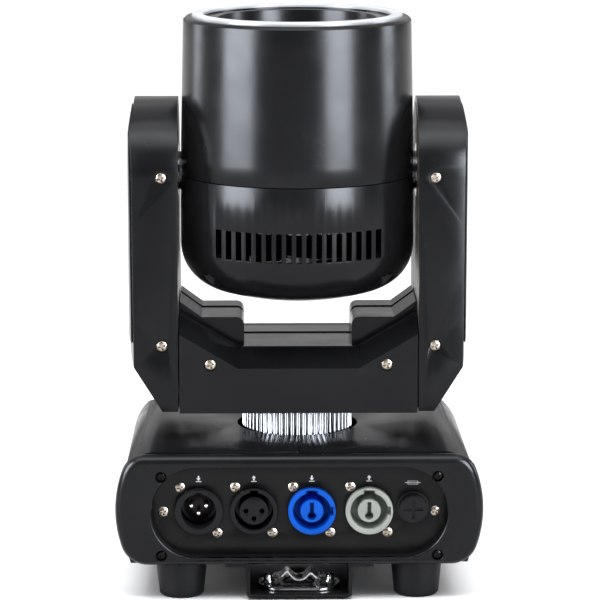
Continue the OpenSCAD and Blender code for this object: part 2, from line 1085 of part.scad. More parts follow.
module tilt_belt() {
    color("#121212")
        mirror([1, 0, 0])
            translate([78, 0, tilt_z])
                rotate([0, 90, 0])
                    linear_extrude(height = 4.2)
                        belt_shape(tilt_big + belt_gap, small_r + belt_gap,
                            tilt_z - tilt_small_z, belt_t);
}

// ---------- head ----------
module tail_outline(inset) {
    c = head_r - tail_r;
    top = head_lo + dome_r;
    z = top - sqrt(pow(dome_r - tail_r, 2) - c * c);
    far = 1.3 * dome_r / (dome_r - tail_r);
    intersection() {
        union() {
            intersection() {
                translate([0, top])
                    circle(r = dome_r - inset);
                polygon([[0, top], [0, top - 1.3 * dome_r],
                    [far * c, top - far * (top - z)]]);
            }
            translate([c, z])
                circle(r = tail_r - inset);
            translate([0, z])
                square([head_r - inset, 211 - z]);
        }
        square([100, 211]);
    }
}
module vent_slot(x) {
    for (s = [0, 1])
        mirror([0, s, 0])
            translate([x, 0, 0]) {
                box([-1.45, 20, 173], [1.45, 70, 188]);
            }
}
module head_rear_shell() {
    color("#222326")
        difference() {
            union() {
                rotate_extrude()
                    difference() {
                        tail_outline(0);
                        tail_outline(2.6);
                        translate([-1, 208])
                            square([58.7, 10]);
                    }
                intersection() {
                    rotate_extrude()
                        tail_outline(0.5);
                    corners(45.4, 34)
                        translate([0, 0, 140])
                            cylinder(r = 7.4, h = 38);
                }
            }
            corners(45.4, 34) {
                translate([0, 0, 130])
                    cylinder(r = 5, h = 32);
                translate([0, 0, 130])
                    cylinder(r = 1.7, h = 60);
            }
            for (i = [-8 : 8])
                vent_slot(i * 5.1);
            for (k = [1 : 3])
                for (a = [0 : 6 * k - 1])
                    rotate([0, 0, a * 60 / k])
                        translate([k * 7, 0, 130])
                            cylinder(r = 2.3, h = 30);
            sides() {
                cyl_x(0, tilt_z, 10.3, 50, 70);
            }
        }
}
module head_front_shell() {
    color("#222326")
        difference() {
            rotate_extrude()
                difference() {
                    polygon([[48.1, rim_z - 6], [48.1, rim_z],
                        [rim_r - 1.5, rim_z], [rim_r, rim_z - 1.5],
                        [head_r, 211.4], [head_r - 2.6, 211.4],
                        [rim_r - 2.6, rim_z - 6]]);
                    translate([48.4, rim_z - 3])
                        square([6.3, 10]);
                }
            sides()
                cyl_x(0, tilt_z, 10.3, 50, 70);
        }
}
module light_ring() {
    color("#f1f2f0")
        rotate_extrude()
            union() {
                translate([48.4, rim_z - 3])
                    square([6.3, 3.4]);
                translate([49.9, rim_z - 3])
                    square([3.3, 4.9]);
                translate([49.9, rim_z + 0.4])
                    circle(r = 1.5);
                translate([53.2, rim_z + 0.4])
                    circle(r = 1.5);
            }
}
module lens_hood() {
    color("#101113")
        rotate_extrude()
            polygon([[41.1, rim_z - 0.6], [48.1, rim_z - 0.6],
                [48.1, rim_z - 6.5], [45, rim_z - 8], [45, 258],
                [28, 250], [28, 226], [25.6, 226], [25.6, 252],
                [31, 255], [31, 258],
                [33.8, 258], [33.8, 270], [36.4, 270], [36.4, 277],
                [38.8, 277], [38.8, 284], [41.1, 284]]);
}
module front_lens() {
    color("#cfe3ee")
        union() {
            intersection() {
                translate([0, 0, 258])
                    cylinder(r = 33.7, h = 20);
                translate([0, 0, 271 - 62])
                    sphere(r = 62, $fn = 128);
            }
            translate([0, 0, 256.6])
                cylinder(r = 30.9, h = 1.5);
        }
}
module head_chassis() {
    color("#a7a9ac")
        union() {
            difference() {
                translate([0, 0, 193])
                    cylinder(r = 57.2, h = 2);
                translate([0, 0, 190])
                    cylinder(r = 9.4, h = 10);
                corners(45.4, 34)
                    translate([0, 0, 190])
                        cylinder(r = 1.7, h = 10);
            }
            sides()
                difference() {
                    box([47.6, -17, 194.9], [50, 17, 230]);
                    cyl_x(0, tilt_z, 6.5, 40, 60);
                }
            difference() {
                translate([wheel_x, 0, 194.9])
                    cylinder(r = 6.6, h = 4.4);
                translate([wheel_x, 0, 195.5])
                    cylinder(r = 2.05, h = 6);
            }
            for (a = [60, 120, 240, 300])
                rotate([0, 0, a])
                    translate([48, 0, 194.9])
                        cylinder(r = 2.6, h = 63.2);
            difference() {
                translate([0, 0, 256])
                    cylinder(r = 52, h = 2);
                translate([0, 0, 250])
                    cylinder(r = 45.05, h = 12);
            }
        }
}
module colour_wheel() {
    color("#d7c56a")
        translate([wheel_x, 0, 0])
            difference() {
                union() {
                    translate([0, 0, 200])
                        cylinder(r = 27, h = 1.4);
                    translate([0, 0, 199.7])
                        cylinder(r = 5, h = 3.2);
                    translate([0, 0, 195.9])
                        cylinder(r = 2, h = 4);
                }
                for (a = [0 : 45 : 315])
                    rotate([0, 0, a])
                        translate([17, 0, 198])
                            cylinder(r = (a == 0 ? 5.6 : 5), h = 6);
            }
}
module heatsink() {
    color("#b9bcc0")
        difference() {
            union() {
                translate([0, 0, 186])
                    cylinder(r = 52, h = 4);
                for (a = [45 : 90 : 315])
                    rotate([0, 0, a])
                        translate([46, 0, 189.9])
                            cylinder(r = 3, h = 3.1);
                intersection() {
                    translate([0, 0, 166])
                        cylinder(r = 54, h = 20.1);
                    union() {
                        for (i = [-9 : 8])
                            translate([(i + 0.5) * 5.1, 0, 0])
                                box([-0.8, -60, 167], [0.8, 60, 187]);
                        box([-50, -3, 167], [50, 3, 187]);
                    }
                }
            }
            corners(45.4, 34)
                translate([0, 0, 150])
                    cylinder(r = 8, h = 34);
        }
}
module led_board() {
    color("#e9e6d8")
        union() {
            translate([0, 0, 190])
                linear_extrude(height = 1.2)
                    rounded(26, 26, 3);
            translate([0, 0, 191.1])
                cylinder(r = 6, h = 1);
            intersection() {
                translate([0, 0, 192])
                    sphere(r = 5);
                translate([0, 0, 191.9])
                    cylinder(r = 6, h = 8);
            }
        }
}
module fan_frame() {
    color("#1b1c1e")
        difference() {
            union() {
                difference() {
                    translate([0, 0, fan_lo])
                        linear_extrude(height = 11.7)
                            rounded(50, 50, 4);
                    translate([0, 0, 140])
                        cylinder(r = 23.4, h = 30);
                }
                translate([0, 0, fan_lo + 9.7])
                    cylinder(r = 9, h = 2);
                for (a = [15 : 90 : 285])
                    rotate([0, 0, a])
                        box([6, -1.4, fan_lo + 9.7], [24.5, 1.4, fan_lo + 11.7]);
                translate([0, 0, fan_lo + 3.1])
                    cylinder(r = 1.95, h = 7);
                corners(21, 21)
                    translate([0, 0, fan_lo + 11.6])
                        cylinder(r = 2.6, h = 3);
            }
            corners(21, 21)
                translate([0, 0, 140])
                    cylinder(r = 1.6, h = 40);
        }
}
module fan_rotor() {
    color("#2d2f33")
        difference() {
            union() {
                translate([0, 0, fan_lo + 0.7])
                    cylinder(r = 9, h = 8.4);
                intersection() {
                    translate([0, 0, fan_lo + 0.7])
                        cylinder(r = 22.8, h = 8.4);
                    for (i = [0 : 6])
                        rotate([0, 0, i * 360 / 7])
                            translate([15, 0, fan_lo + 4.9])
                                rotate([38, 0, 0])
                                    cube([17, 12, 1.1], center = true);
                }
            }
            translate([0, 0, fan_lo + 2.1])
                cylinder(r = 2, h = 10);
        }
}

base_cover_left();
base_cover_right();
base_floor_plate();
rear_end_cap();
front_end_cap();
connector_panel();
dmx_in_socket();
dmx_in_pins();
dmx_out_socket();
power_in_socket();
power_out_socket();
fuse_holder();
fuse_cap();
rear_screws();
display_panel();
display_window();
menu_button_1();
menu_button_2();
menu_button_3();
menu_button_4();
foot_1();
foot_2();
foot_3();
foot_4();
mount_channel();
lock_receptacles();
power_supply();
control_board();
pan_bearing();
pan_pulley();
yoke_frame();
yoke_rear_cover();
yoke_front_cover();
left_arm_cover();
right_arm_cover();
left_arm_plate();
right_arm_plate();
left_side_panel();
right_side_panel();
yoke_screws();
pan_shaft();
pan_motor();
pan_motor_pulley();
pan_belt();
tilt_motor();
tilt_motor_pulley();
tilt_belt();
tilt_bearings();
head_rear_shell();
head_front_shell();
light_ring();
lens_hood();
front_lens();
heatsink();
led_board();
fan_frame();
fan_rotor();
head_chassis();
tilt_trunnions();
colour_wheel();
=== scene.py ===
import json
import math

import bmesh
import bpy
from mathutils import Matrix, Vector


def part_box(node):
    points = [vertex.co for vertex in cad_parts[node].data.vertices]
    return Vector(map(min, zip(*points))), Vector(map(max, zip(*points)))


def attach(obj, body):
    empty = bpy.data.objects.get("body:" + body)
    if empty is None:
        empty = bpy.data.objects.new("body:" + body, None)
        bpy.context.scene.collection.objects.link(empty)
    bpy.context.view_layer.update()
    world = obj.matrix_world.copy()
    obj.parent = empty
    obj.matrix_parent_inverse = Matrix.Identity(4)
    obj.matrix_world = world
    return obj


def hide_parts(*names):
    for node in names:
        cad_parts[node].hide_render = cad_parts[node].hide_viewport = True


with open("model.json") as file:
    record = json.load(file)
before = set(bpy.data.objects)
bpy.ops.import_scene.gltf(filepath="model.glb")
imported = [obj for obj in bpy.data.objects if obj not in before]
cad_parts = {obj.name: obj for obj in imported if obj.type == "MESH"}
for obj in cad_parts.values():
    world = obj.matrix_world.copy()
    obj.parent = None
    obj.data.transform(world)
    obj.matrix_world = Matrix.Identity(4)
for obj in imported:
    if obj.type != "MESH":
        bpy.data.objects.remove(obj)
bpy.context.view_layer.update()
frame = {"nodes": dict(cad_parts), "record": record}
NODES = frame["nodes"]
MM = 0.001
EDGE_ANGLE = math.radians(32)  # softer bends are shaded smooth and not bevelled
WELD_MM = 0.002

# Sky radiance in front of the object, behind it, and at the horizon as a share of that
SKY_FRONT, SKY_BACK, HORIZON = 0.2, 0.95, 0.12
OVERHEAD = 1.5  # strength of the wide overhead sun
COOL, NEUTRAL = (0.86, 0.91, 1.0), (0.94, 0.96, 1.0)

# Rear end cap, mm: bulged sides, corner radii, recess, and the screw wells
CAP_BOW, CAP_TOP_R, CAP_BOTTOM_R = 60, 12, 14
RECESS_HALF_RUN, RECESS_R, RECESS_Z = 52, 23.5, 46.75
WELL_X, WELL_Z = (-70.4, 70.4), (65.6, 24.5)
CAP_SCREW_Y = -73.0  # screw heads nearer the front than this are the end cap's

ARROW = 1.4 * MM  # half width of a socket's printed arrow

# Camera: a long lens, turned down and to the right by these degrees
LENS_MM, SENSOR_MM = 194.3, 36
CAMERA_PLACE = (-0.026, -1.674, 0.458)
CAMERA_DOWN, CAMERA_RIGHT = 10.66, 0.94


# ---------- small helpers ----------
def new_object(name, bm, material, smooth=True):
    """A mesh object made from bm, with one material."""
    mesh = bpy.data.meshes.new(name)
    bmesh.ops.remove_doubles(bm, verts=bm.verts, dist=1e-6)
    bmesh.ops.recalc_face_normals(bm, faces=bm.faces)
    bm.to_mesh(mesh)
    bm.free()
    for face in mesh.polygons:
        face.use_smooth = smooth
    obj = bpy.data.objects.new(name, mesh)
    bpy.context.scene.collection.objects.link(obj)
    mesh.materials.append(material)
    return obj


def smooth_group():
    """Geometry nodes that shade smooth all edges bent less than EDGE_ANGLE."""
    group = bpy.data.node_groups.new("smooth_edges", "GeometryNodeTree")
    group.interface.new_socket("Geometry", in_out="INPUT", socket_type="NodeSocketGeometry")
    group.interface.new_socket("Geometry", in_out="OUTPUT", socket_type="NodeSocketGeometry")
    add = group.nodes.new
    start, end = add("NodeGroupInput"), add("NodeGroupOutput")
    faces, edges = add("GeometryNodeSetShadeSmooth"), add("GeometryNodeSetShadeSmooth")
    edges.domain = "EDGE"
    bend = add("GeometryNodeInputMeshEdgeAngle")
    compare = add("FunctionNodeCompare")
    compare.operation = "LESS_THAN"
    compare.inputs["B"].default_value = EDGE_ANGLE
    link = group.links.new
    link(start.outputs[0], faces.inputs["Geometry"])
    link(faces.outputs[0], edges.inputs["Geometry"])
    link(bend.outputs["Unsigned Angle"], compare.inputs["A"])
    link(compare.outputs[0], edges.inputs["Shade Smooth"])
    link(edges.outputs[0], end.inputs[0])
    return group


SMOOTH = smooth_group()


def soften(obj, width_mm, segments=2):
    """Rounded edges on an object, by modifiers only."""
    weld = obj.modifiers.new("weld", "WELD")
    weld.merge_threshold = WELD_MM * MM
    if width_mm:
        bevel = obj.modifiers.new("edge", "BEVEL")
        bevel.width = width_mm * MM
        bevel.segments = segments
        bevel.limit_method = "ANGLE"
        bevel.angle_limit = EDGE_ANGLE
        bevel.use_clamp_overlap = True
        bevel.harden_normals = False
        bevel.miter_outer = "MITER_ARC"
    shade = obj.modifiers.new("smooth", "NODES")
    shade.node_group = SMOOTH


# ---------- loop-built mouldings ----------
def ring_faces(bm, loops, close=False):
    """Faces between successive loops of equal length."""
    rows = [[bm.verts.new(p) for p in loop] for loop in loops]
    pairs = list(zip(rows, rows[1:])) + ([(rows[-1], rows[0])] if close else [])
    for low, high in pairs:
        n = len(low)
        for i in range(n):
            j = (i + 1) % n
            bm.faces.new((low[i], low[j], high[j], high[i]))
    return rows


def fillet(radius, count):
    """Quarter-round steps: (inset, advance) pairs from flat side to flat face."""
    return [(radius * (1 - math.cos(a)), radius * math.sin(a))
            for a in (math.pi / 2 * i / count for i in range(count + 1))]


class Outline:
    """A closed outline of arcs and straights that can be inset exactly."""

    def __init__(self):
        self.rays = []  # each point's centre, outward direction and radius

    def arc(self, centre, radius, start, end, count):
        """Points on an arc between two angles in degrees."""
        for i in range(count):
            a = math.radians(start + (end - start) * i / (count - 1))
            self.rays.append((centre, (math.cos(a), math.sin(a)), radius))
        return self

    def straight(self, start, end, direction, radius, count):
        """Points along a straight run, whose ends belong to the arcs beside it."""
        for i in range(1, count):
            t = i / count
            centre = (start[0] + (end[0] - start[0]) * t, start[1] + (end[1] - start[1]) * t)
            self.rays.append((centre, direction, radius))
        return self

    def inset(self, amount, y):
        """The outline in the plane at y, moved inwards by an amount."""
        return [Vector(((c[0] + d[0] * (r - amount)), y, c[1] + d[1] * (r - amount)))
                for c, d, r in self.rays]


# ---------- materials ----------
class Shader:
    """A node material with one Principled shader and object coordinates."""

    def __init__(self, name, color, roughness, metallic=0.0):
        self.material = bpy.data.materials.new(name)
        self.material.use_nodes = True
        self.tree = self.material.node_tree
        self.bsdf = self.tree.nodes["Principled BSDF"]
        self.bsdf.inputs["Base Color"].default_value = (*color, 1)
        self.bsdf.inputs["Roughness"].default_value = roughness
        self.bsdf.inputs["Metallic"].default_value = metallic
        self.coords = self.tree.nodes.new("ShaderNodeTexCoord").outputs["Object"]

    def noise(self, scale, detail=3.0, stretch=None):
        """Noise by object position, its scale in cycles per metre."""
        node = self.tree.nodes.new("ShaderNodeTexNoise")
        node.inputs["Scale"].default_value = scale
        node.inputs["Detail"].default_value = detail
        source = self.coords
        if stretch:
            mapping = self.tree.nodes.new("ShaderNodeMapping")
            mapping.inputs["Scale"].default_value = stretch
            self.tree.links.new(source, mapping.inputs["Vector"])
            source = mapping.outputs["Vector"]
        self.tree.links.new(source, node.inputs["Vector"])
        return node.outputs["Fac"]

    def ramp(self, source, low, high, a=0.3, b=0.7):
        """Source spread from low to high; numbers or colours."""
        if isinstance(low, tuple):
            node = self.tree.nodes.new("ShaderNodeValToRGB")
            node.color_ramp.elements[0].position = a
            node.color_ramp.elements[1].position = b
            node.color_ramp.elements[0].color = (*low, 1)
            node.color_ramp.elements[1].color = (*high, 1)
            self.tree.links.new(source, node.inputs["Fac"])
            return node.outputs["Color"]
        node = self.tree.nodes.new("ShaderNodeMapRange")
        node.inputs["From Min"].default_value = a
        node.inputs["From Max"].default_value = b
        node.inputs["To Min"].default_value = low
        node.inputs["To Max"].default_value = high
        self.tree.links.new(source, node.inputs["Value"])
        return node.outputs["Result"]

    def put(self, source, socket):
        """A source linked to one of the shader's inputs."""
        self.tree.links.new(source, self.bsdf.inputs[socket])
        return self

    def bump(self, *heights):
        """Stacked bumps from (source, distance in mm, strength)."""
        normal = None
        for source, distance, strength in heights:
            node = self.tree.nodes.new("ShaderNodeBump")
            node.inputs["Strength"].default_value = strength
            node.inputs["Distance"].default_value = distance * MM
            self.tree.links.new(source, node.inputs["Height"])
            if normal is not None:
                self.tree.links.new(normal, node.inputs["Normal"])
            normal = node.outputs["Normal"]
        self.tree.links.new(normal, self.bsdf.inputs["Normal"])
        return self


def moulded(name, color, rough, grain_mm, depth_mm, sheen=0.5):
    """Spark-textured moulding: fine grain, faint cloudiness, smudges."""
    s = Shader(name, color, rough)
    grain = s.noise(1 / (grain_mm * MM), 4.0)
    cloud = s.noise(28.0, 3.0)
    dark = tuple(c * 0.82 for c in color)
    light = tuple(c * 1.22 for c in color)
    s.put(s.ramp(cloud, dark, light), "Base Color")
    s.put(s.ramp(s.noise(60.0, 5.0), rough - 0.035, rough + 0.045), "Roughness")
    s.bump((grain, depth_mm, 0.22), (s.noise(3.2 / (grain_mm * MM), 2.0), depth_mm * 0.4, 0.12))
    s.bsdf.inputs["Specular IOR Level"].default_value = sheen
    return s.material


def sheet_metal(name, color, rough, grain, depth_mm=0.01):
    """Plated or brushed metal, with fine marks along one direction."""
    s = Shader(name, color, rough, 1.0)
    lines = s.noise(900.0, 4.0, grain)
    s.put(s.ramp(lines, rough - 0.07, rough + 0.1), "Roughness")
    dark, light = tuple(c * 0.86 for c in color), tuple(min(1, c * 1.08) for c in color)
    s.put(s.ramp(s.noise(45.0, 4.0), dark, light), "Base Color")
    s.bump((lines, depth_mm, 0.25))
    return s.material


def nickel():
    """Warm nickel with painted shade: ambient occlusion darkens its crosses and recesses towards black;
    the end cap's screws, nearest -Y, are drawn black.
    """
    plate, black_and_shade = (0.34, 0.29, 0.235), (0.012, 0.011, 0.01)
    s = Shader("nickel", plate, 0.26, 1.0)
    split = s.tree.nodes.new("ShaderNodeSeparateXYZ")
    s.tree.links.new(s.coords, split.inputs[0])
    near, far = (CAP_SCREW_Y - 0.2) * MM, (CAP_SCREW_Y + 0.2) * MM
    depth = s.ramp(split.outputs["Y"], 0.0, 1.0, near, far)
    # Painted shade: ambient occlusion within 0.9 mm darkens the screw crosses and recesses
    painted_recess_shade = s.tree.nodes.new("ShaderNodeAmbientOcclusion")
    painted_recess_shade.samples = 6
    painted_recess_shade.only_local = True
    painted_recess_shade.inputs["Distance"].default_value = 0.9 * MM
    plate_share = s.tree.nodes.new("ShaderNodeMath")
    plate_share.operation = "MULTIPLY"
    s.tree.links.new(depth, plate_share.inputs[0])
    s.tree.links.new(s.ramp(painted_recess_shade.outputs["AO"], 0.0, 1.0, 0.45, 0.85), plate_share.inputs[1])
    # Base colour goes from plate to black on the end cap's screws and where the painted recess shade
    # falls
    s.put(s.ramp(plate_share.outputs["Value"], black_and_shade, plate, 0.1, 0.9), "Base Color")
    s.put(s.ramp(s.noise(500.0, 4.0), 0.2, 0.34), "Roughness")
    s.bump((s.noise(700.0, 3.0), 0.01, 0.2))
    return s.material


MATERIALS = {
    "black_plastic": moulded("black_plastic", (0.0060, 0.0062, 0.0069), 0.23, 0.33, 0.03, 0.12),
    "black_metal": moulded("black_metal", (0.008, 0.008, 0.008), 0.3, 0.5, 0.02, 0.1),
    "grey_buttons": moulded("grey_buttons", (0.05, 0.05, 0.055), 0.5, 0.3, 0.02),
    "zinc_sheet": sheet_metal("zinc_sheet", (0.36, 0.36, 0.355), 0.16, (1, 0.08, 1), 0.002),
    "light_plate": moulded("light_plate", (0.12, 0.10, 0.085), 0.4, 0.4, 0.02),
    "nickel": nickel(),
    "aluminium": sheet_metal("aluminium", (0.1, 0.103, 0.107), 0.16, (1, 1, 0.06)),
    "bearing_steel": sheet_metal("bearing_steel", (0.5, 0.5, 0.52), 0.2, (1, 1, 0.05)),
    "blue_plastic": moulded("blue_plastic", (0.001, 0.08, 0.48), 0.32, 0.5, 0.012, 0.08),
    "white_plastic": moulded("white_plastic", (0.32, 0.34, 0.31), 0.34, 0.5, 0.012, 0.12),
    "black_rubber": moulded("black_rubber", (0.0035, 0.0035, 0.0038), 0.5, 0.45, 0.03, 0.12),
    "circuit_board": moulded("circuit_board", (0.01, 0.09, 0.035), 0.35, 0.8, 0.01),
    "opal_ring": moulded("opal_ring", (0.44, 0.45, 0.47), 0.3, 0.6, 0.006, 0.3),
    "white_print": moulded("white_print", (0.75, 0.75, 0.75), 0.5, 0.5, 0.002, 0.2),
    "led_white": moulded("led_white", (0.78, 0.75, 0.6), 0.35, 0.6, 0.01),
}


def glass(name, color, rough, tint_coat=0.0):
    """Clear or tinted glass, with an optional coating."""
    s = Shader(name, color, rough)
    s.bsdf.inputs["Transmission Weight"].default_value = 1.0
    s.bsdf.inputs["IOR"].default_value = 1.5
    s.bsdf.inputs["Coat Weight"].default_value = tint_coat
    s.put(s.ramp(s.noise(40.0, 3.0), rough, rough + 0.02), "Roughness")
    return s.material


MATERIALS["clear_glass"] = glass("clear_glass", (0.8, 0.9, 0.97), 0.02, 0.4)
MATERIALS["display_glass"] = glass("display_glass", (0.02, 0.05, 0.09), 0.05, 0.5)
MATERIALS["dichroic_glass"] = glass("dichroic_glass", (0.8, 0.55, 0.15), 0.05)

# Edge rounding of each CAD node, mm
EDGE = {"default": 0.35, "front_end_cap": 1.2, "rear_end_cap": 1.6, "left_side_panel": 0.8,
        "right_side_panel": 0.8, "left_arm_cover": 0.9, "right_arm_cover": 0.9,
        "yoke_rear_cover": 0.8, "yoke_front_cover": 0.8, "base_cover_left": 0.5,
        "base_cover_right": 0.5, "head_front_shell": 0.8, "head_rear_shell": 0.35,
        "rear_screws": 0.12, "yoke_screws": 0.12, "dmx_in_pins": 0, "light_ring": 0,
        "front_lens": 0, "heatsink": 0.15, "pan_pulley": 0.15}


def dress_nodes():
    """Each CAD node gets its slot's material and its rounded edges."""
    for sub in frame["record"]["subparts"]:
        obj = NODES[sub["node"]]
        obj.data.materials.clear()
        obj.data.materials.append(MATERIALS[sub["material_slot"]])
        soften(obj, EDGE.get(sub["node"], EDGE["default"]))


# ---------- base: end cap moulding ----------
def cap_outline(half_w, low, high):
    """The end cap's outline: bulged sides and round corners."""
    mid, bow = (low + high) / 2, CAP_BOW
    cx = half_w - bow
    corner = []
    for r, z in ((CAP_TOP_R, high - CAP_TOP_R), (CAP_BOTTOM_R, low + CAP_BOTTOM_R)):
        dz = z - mid
        dx = math.sqrt((bow - r) ** 2 - dz ** 2)
        corner.append((cx + dx, z, r, math.degrees(math.atan2(dz, dx))))
    (tx, tz, tr, ta), (bx, bz, br, ba) = corner
    out = Outline()
    out.arc((tx, tz), tr, 90, ta, 10).arc((cx, mid), bow, ta, ba, 20).arc((bx, bz), br, ba, -90, 10)
    out.straight((bx, bz), (-bx, bz), (0, -1), br, 12)
    out.arc((-bx, bz), br, 270, 180 - ba, 10).arc((-cx, mid), bow, 180 - ba, 180 - ta, 20)
    out.arc((-tx, tz), tr, 180 - ta, 90, 10)
    out.straight((-tx, tz), (tx, tz), (0, 1), tr, 12)
    return out


def recess_outline():
    """The stadium-shaped recess, with as many points as the cap's outline."""
    half_run, radius, z = RECESS_HALF_RUN, RECESS_R, RECESS_Z
    out = Outline()
    out.arc((half_run, z), radius, 90, -90, 40)
    out.straight((half_run, z), (-half_run, z), (0, -1), radius, 12)
    out.arc((-half_run, z), radius, 270, 90, 40)
    out.straight((-half_run, z), (half_run, z), (0, 1), radius, 12)
    return out


def cut(obj, cutters):
    """Boolean cut of obj by a mesh of cutters, applied to the mesh."""
    cutter = new_object("cutter", cutters, obj.data.materials[0])
    step = obj.modifiers.new("cut", "BOOLEAN")
    step.operation = "DIFFERENCE"
    step.solver = "EXACT"
    step.use_self = True
    step.object = cutter
    bpy.context.view_layer.update()
    graph = bpy.context.evaluated_depsgraph_get()
    result = bpy.data.meshes.new_from_object(obj.evaluated_get(graph))
    obj.modifiers.clear()
    obj.data = result
    bpy.data.objects.remove(cutter)
    return obj


def tube_cutter(bm, centre, axis, profile, count=32):
    """A lathed plug about an axis; profile is (distance along, radius)."""
    turn = Vector((0, 0, 1)).rotation_difference(Vector(axis)).to_matrix()
    rings = []
    for along, radius in profile:
        ring = []
        for i in range(count):
            a = 2 * math.pi * i / count
            p = turn @ Vector((radius * math.cos(a), radius * math.sin(a), along))
            ring.append(bm.verts.new(Vector(centre) + p))
        rings.append(ring)
    for low, high in zip(rings, rings[1:]):
        for i in range(count):
            j = (i + 1) % count
            bm.faces.new((low[i], low[j], high[j], high[i]))
    bm.faces.new(rings[0][::-1])
    bm.faces.new(rings[-1])
    return bm


def rear_cap():
    """The end cap as one moulding: rounded front edge, recess, screw wells."""
    low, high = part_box("rear_end_cap")
    low_z, high_z = low.z / MM, high.z / MM
    outer = cap_outline(high.x / MM, low_z, high_z)
    recess = recess_outline()
    front, edge_r, lip_r = low.y / MM, 4.2, 1.0
    back, root, chamfer, side = 6.9, 5.7, 5.6, 5.1  # depths behind the front face
    tongue, draft = 2.2, 0.35  # insets of the rear tongue and of the recess at its deep end
    loops = [outer.inset(tongue, front + back), outer.inset(tongue, front + root),
             outer.inset(0.5, front + chamfer), outer.inset(0.0, front + side)]
    for inset, advance in fillet(edge_r, 7):
        loops.append(outer.inset(inset, front + edge_r - advance))
    loops.append(outer.inset(edge_r + 0.8, front))
    loops.append(recess.inset(-lip_r - 0.4, front))
    for inset, advance in fillet(lip_r, 4)[::-1]:
        loops.append(recess.inset(-inset, front + lip_r - advance))
    loops.append(recess.inset(draft, front + 6.5))
    loops.append(recess.inset(draft, front + back))
    bm = bmesh.new()
    ring_faces(bm, [[p * MM for p in loop] for loop in loops], close=True)
    cap = new_object("rear_cap_moulding", bm, MATERIALS["black_plastic"])
    wells = bmesh.new()
    well_r, waist_r = 3.1 * MM, 2.85 * MM
    for x in WELL_X:
        for z in WELL_Z:
            tube_cutter(wells, Vector((x, front - 1, z)) * MM, (0, 1, 0),
                        [(0, well_r), (1.1 * MM, well_r), (1.4 * MM, waist_r), (3.5 * MM, waist_r)])
    cut(cap, wells)
    soften(cap, 0)
    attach(cap, "base")
    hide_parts("rear_end_cap")


# ---------- base: printed marks ----------
def flat_shape(bm, points, y, thick=0.04 * MM):
    """A thin raised print, from (x, z) points, on a face looking to -Y."""
    front = [bm.verts.new((x, y - thick, z)) for x, z in points]
    back = [bm.verts.new((x, y, z)) for x, z in points]
    bm.faces.new(front)
    bm.faces.new(back[::-1])
    n = len(points)
    for i in range(n):
        j = (i + 1) % n
        bm.faces.new((front[j], front[i], back[i], back[j]))


def arrow(bm, x, z, y, size, up):
    """An arrow with a bar: up leaves the bar, down meets it."""
    s = size if up else -size
    head = [(x, z + s), (x + 0.8 * size, z), (x + 0.28 * size, z), (x + 0.28 * size, z - s * 0.9),
            (x - 0.28 * size, z - s * 0.9), (x - 0.28 * size, z), (x - 0.8 * size, z)]
    flat_shape(bm, head, y)
    bar = z - s * 1.25 if up else z + s * 1.25
    flat_shape(bm, [(x - size, bar - 0.15 * size), (x + size, bar - 0.15 * size),
                    (x + size, bar + 0.15 * size), (x - size, bar + 0.15 * size)], y)


def print_marks():
    """Generic arrows over the sockets and a fuse sign, in white print."""
    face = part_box("connector_panel")[0].y
    bm = bmesh.new()
    for node, up in (("dmx_in_socket", False), ("dmx_out_socket", True),
                     ("power_in_socket", False), ("power_out_socket", True)):
        low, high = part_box(node)
        arrow(bm, (low.x + high.x) / 2, high.z + ARROW, face, ARROW, up)
    low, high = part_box("fuse_holder")
    x, z = (low.x + high.x) / 2, high.z + 4.2 * MM
    w, h, t, lead = 2.6 * MM, 0.9 * MM, 0.2 * MM, 1.4 * MM  # half width, half height, line, leads
    for a, b, c, d in ((-w, w, h - t, h), (-w, w, -h, t - h), (-w, t - w, -h, h), (w - t, w, -h, h),
                       (-w - lead, w + lead, -t / 2, t / 2)):
        flat_shape(bm, [(x + a, z + c), (x + b, z + c), (x + b, z + d), (x + a, z + d)], face)
    marks = new_object("socket_marks", bm, MATERIALS["white_print"], smooth=False)
    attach(marks, "base")


# ---------- base: quarter-turn receptacles ----------
def dome_profile(radius, height, foot, count=6):
    """Lathe profile of a rivet: a small foot washer and a domed head."""
    washer = 0.5 * MM
    out = [(0, foot), (washer, foot), (washer, radius)]
    for i in range(count + 1):
        a = math.pi / 2 * i / count
        along = washer + (height - washer) * (0.45 + 0.55 * math.sin(a))
        out.append((along, radius * max(0.08, math.cos(a))))
    return out


